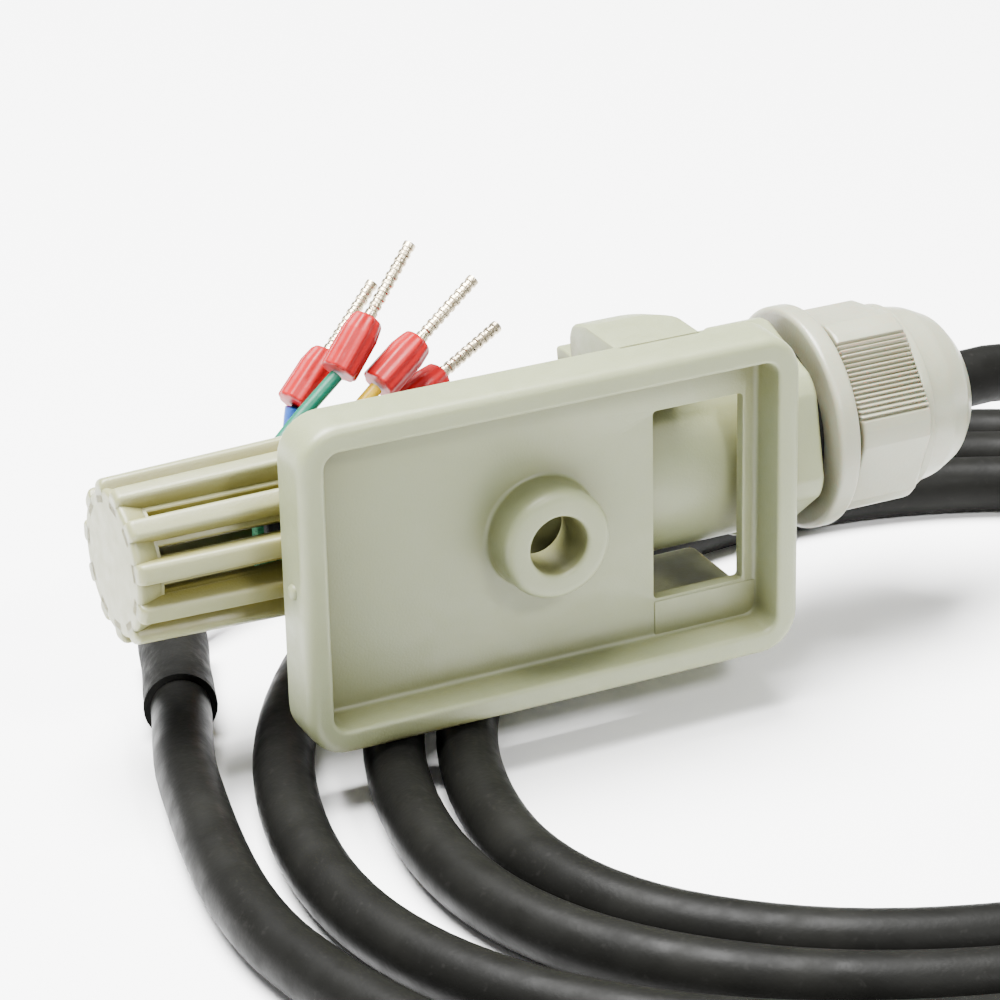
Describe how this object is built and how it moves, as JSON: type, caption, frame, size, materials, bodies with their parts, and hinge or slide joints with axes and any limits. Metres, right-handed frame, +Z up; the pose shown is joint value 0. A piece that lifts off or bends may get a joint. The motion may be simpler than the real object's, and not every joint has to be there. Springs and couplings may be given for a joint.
{
  "type": "air temperature and humidity probe",
  "caption": "Slotted cage probe held by a tray-shaped wall bracket, with a cable gland and a looped lead ending in crimped ferrules.",
  "frame": {"origin": "middle of the probe, bracket and gland together, without the lead", "axes": "+X along the probe toward the cable gland, +Y away from the wall that the bracket sits against, +Z up, square to the bracket's long edge"},
  "size_m": [0.1315, 0.1229, 0.0339],
  "materials": {
    "cream_abs": "fine moulded satin",
    "cream_cage": "fine moulded satin",
    "grey_nylon": "smooth moulded nylon",
    "black_rubber": "matt",
    "black_pvc": "soft sheen",
    "green_board": "solder mask",
    "black_epoxy": "moulded package",
    "tantalum": "moulded package",
    "ferrule_red": "moulded collar",
    "tinned": "crimped tin",
    "wire_green": "smooth",
    "wire_yellow": "smooth",
    "wire_brown": "smooth",
    "wire_blue": "smooth"
  },
  "bodies": {
    "holder": {"bracket": "cream_abs", "cable_drop": "black_pvc", "cable_loops": "black_pvc", "heat_shrink": "black_rubber", "core_green": "wire_green", "ferrule_green": "ferrule_red", "pin_green": "tinned", "core_blue": "wire_blue", "ferrule_blue": "ferrule_red", "pin_blue": "tinned", "core_yellow": "wire_yellow", "ferrule_yellow": "ferrule_red", "pin_yellow": "tinned", "core_brown": "wire_brown", "ferrule_brown": "ferrule_red", "pin_brown": "tinned"},
    "probe": {"probe_tube": "cream_abs", "gland_body": "grey_nylon", "gland_gasket": "black_rubber", "sensor_board": "green_board", "humidity_chip": "black_epoxy", "controller_chip": "black_epoxy", "bus_chip": "black_epoxy", "regulator": "black_epoxy", "capacitor": "tantalum", "inner_wire_green": "wire_green", "inner_wire_yellow": "wire_yellow", "inner_wire_brown": "wire_brown", "inner_wire_blue": "wire_blue"},
    "cage": {"cage_head": "cream_cage"},
    "clamp": {"gland_claw": "grey_nylon", "gland_seal": "black_rubber"},
    "nut": {"gland_nut": "grey_nylon"}
  },
  "joints": [
    {"name": "probe_turn", "type": "hinge", "parent": "holder", "child": "probe", "pos_m": [-0.00575, 0.0022, 0], "axis": [1, 0, 0], "range_deg": [-90, 90]},
    {"name": "cage_pull", "type": "slide", "parent": "probe", "child": "cage", "axis": [-1, 0, 0], "range_m": [0, 0.0095]},
    {"name": "clamp_travel", "type": "slide", "parent": "probe", "child": "clamp", "axis": [1, 0, 0], "range_m": [-0.00038, 0.0045]},
    {"name": "nut_turn", "type": "hinge", "parent": "clamp", "child": "nut", "pos_m": [0.03125, 0.0022, 0], "axis": [1, 0, 0], "range_deg": [-90, 1080]}
  ],
  "couplings": [
    {"joint": "nut_turn", "follows": "clamp_travel", "rad_per_m": 4188.8}
  ]
}
